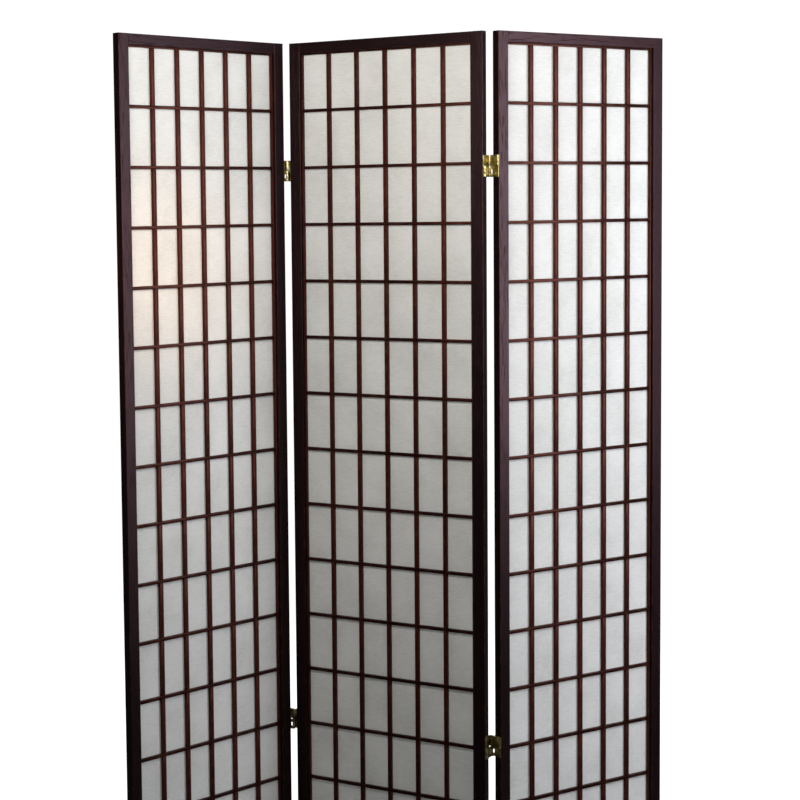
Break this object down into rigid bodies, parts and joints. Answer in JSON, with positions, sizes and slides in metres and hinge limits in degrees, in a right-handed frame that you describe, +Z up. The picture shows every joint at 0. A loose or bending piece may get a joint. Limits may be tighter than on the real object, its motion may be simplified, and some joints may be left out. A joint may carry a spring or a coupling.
{
  "type": "folding room divider screen",
  "caption": "Free-standing folding screen: tall timber panels with a small-paned lattice over translucent paper, joined by double-action brass hinges.",
  "frame": {"origin": "on the floor, under the middle of the box around the half-folded screen", "axes": "+Z up; -Y is the front, where the lattice shows; +X runs to the right along the row of panels as seen from the front"},
  "size_m": [1.1408, 0.3, 1.784],
  "materials": {
    "frame_wood": "dark cherry stain under satin lacquer",
    "lattice_wood": "dark cherry stain under satin lacquer",
    "dowel_wood": "plain beech, glued in",
    "paper": "white fibre paper, matt, translucent",
    "hinge_brass": "bright brass, lightly tarnished",
    "screws": "brass countersunk wood screws",
    "pins": "drawn brass wire"
  },
  "bodies": {
    "left_panel": {"left_panel_left_stile": "frame_wood", "left_panel_right_stile": "frame_wood", "left_panel_top_rail": "frame_wood", "left_panel_bottom_rail": "frame_wood", "left_panel_left_border": "lattice_wood", "left_panel_right_border": "lattice_wood", "left_panel_top_border": "lattice_wood", "left_panel_bottom_border": "lattice_wood", "left_panel_vertical_bars": "lattice_wood", "left_panel_horizontal_bars": "lattice_wood", "left_panel_paper": "paper", "left_panel_dowels": "dowel_wood", "left_panel_hinge_screws": "screws", "left_panel_hinge_pins": "pins", "left_fold_upper_hinge_outer_leaf": "hinge_brass", "left_fold_lower_hinge_outer_leaf": "hinge_brass"},
    "middle_panel": {"middle_panel_left_stile": "frame_wood", "middle_panel_right_stile": "frame_wood", "middle_panel_top_rail": "frame_wood", "middle_panel_bottom_rail": "frame_wood", "middle_panel_left_border": "lattice_wood", "middle_panel_right_border": "lattice_wood", "middle_panel_top_border": "lattice_wood", "middle_panel_bottom_border": "lattice_wood", "middle_panel_vertical_bars": "lattice_wood", "middle_panel_horizontal_bars": "lattice_wood", "middle_panel_paper": "paper", "middle_panel_dowels": "dowel_wood", "middle_panel_hinge_screws": "screws", "middle_panel_hinge_pins": "pins", "left_fold_upper_hinge_inner_leaf": "hinge_brass", "left_fold_lower_hinge_inner_leaf": "hinge_brass", "right_fold_upper_hinge_inner_leaf": "hinge_brass", "right_fold_lower_hinge_inner_leaf": "hinge_brass"},
    "right_panel": {"right_panel_left_stile": "frame_wood", "right_panel_right_stile": "frame_wood", "right_panel_top_rail": "frame_wood", "right_panel_bottom_rail": "frame_wood", "right_panel_left_border": "lattice_wood", "right_panel_right_border": "lattice_wood", "right_panel_top_border": "lattice_wood", "right_panel_bottom_border": "lattice_wood", "right_panel_vertical_bars": "lattice_wood", "right_panel_horizontal_bars": "lattice_wood", "right_panel_paper": "paper", "right_panel_dowels": "dowel_wood", "right_panel_hinge_screws": "screws", "right_panel_hinge_pins": "pins", "right_fold_upper_hinge_outer_leaf": "hinge_brass", "right_fold_lower_hinge_outer_leaf": "hinge_brass"},
    "left_bottom_links": {"left_fold_upper_hinge_bottom_link": "hinge_brass", "left_fold_lower_hinge_bottom_link": "hinge_brass"},
    "left_top_links": {"left_fold_upper_hinge_top_link": "hinge_brass", "left_fold_lower_hinge_top_link": "hinge_brass"},
    "right_bottom_links": {"right_fold_upper_hinge_bottom_link": "hinge_brass", "right_fold_lower_hinge_bottom_link": "hinge_brass"},
    "right_top_links": {"right_fold_upper_hinge_top_link": "hinge_brass", "right_fold_lower_hinge_top_link": "hinge_brass"}
  },
  "joints": [
    {"name": "left_reverse_fold", "type": "hinge", "parent": "middle_panel", "child": "left_bottom_links", "pos_m": [-0.19671, 0.14715, 0.9365], "axis": [0, 0, 1], "range_deg": [-90, 0]},
    {"name": "left_fold", "type": "hinge", "parent": "left_bottom_links", "child": "left_panel", "pos_m": [-0.2114, 0.12692, 0.9365], "axis": [0, 0, 1], "range_deg": [-75, 105]},
    {"name": "left_top_link_turn", "type": "hinge", "parent": "left_panel", "child": "left_top_links", "pos_m": [-0.22714, 0.14635, 0.9365], "axis": [0, 0, 1], "range_deg": [-10, 100]},
    {"name": "right_reverse_fold", "type": "hinge", "parent": "middle_panel", "child": "right_bottom_links", "pos_m": [0.15298, -0.13782, 0.9365], "axis": [0, 0, 1], "range_deg": [-90, 0]},
    {"name": "right_fold", "type": "hinge", "parent": "right_bottom_links", "child": "right_panel", "pos_m": [0.16767, -0.11759, 0.9365], "axis": [0, 0, 1], "range_deg": [-64, 116]},
    {"name": "right_top_link_turn", "type": "hinge", "parent": "right_panel", "child": "right_top_links", "pos_m": [0.17941, -0.13967, 0.9365], "axis": [0, 0, 1], "range_deg": [-10, 100]}
  ],
  "couplings": [
    {"joint": "left_top_link_turn", "follows": "left_reverse_fold", "ratio": -1},
    {"joint": "right_top_link_turn", "follows": "right_reverse_fold", "ratio": -1}
  ]
}
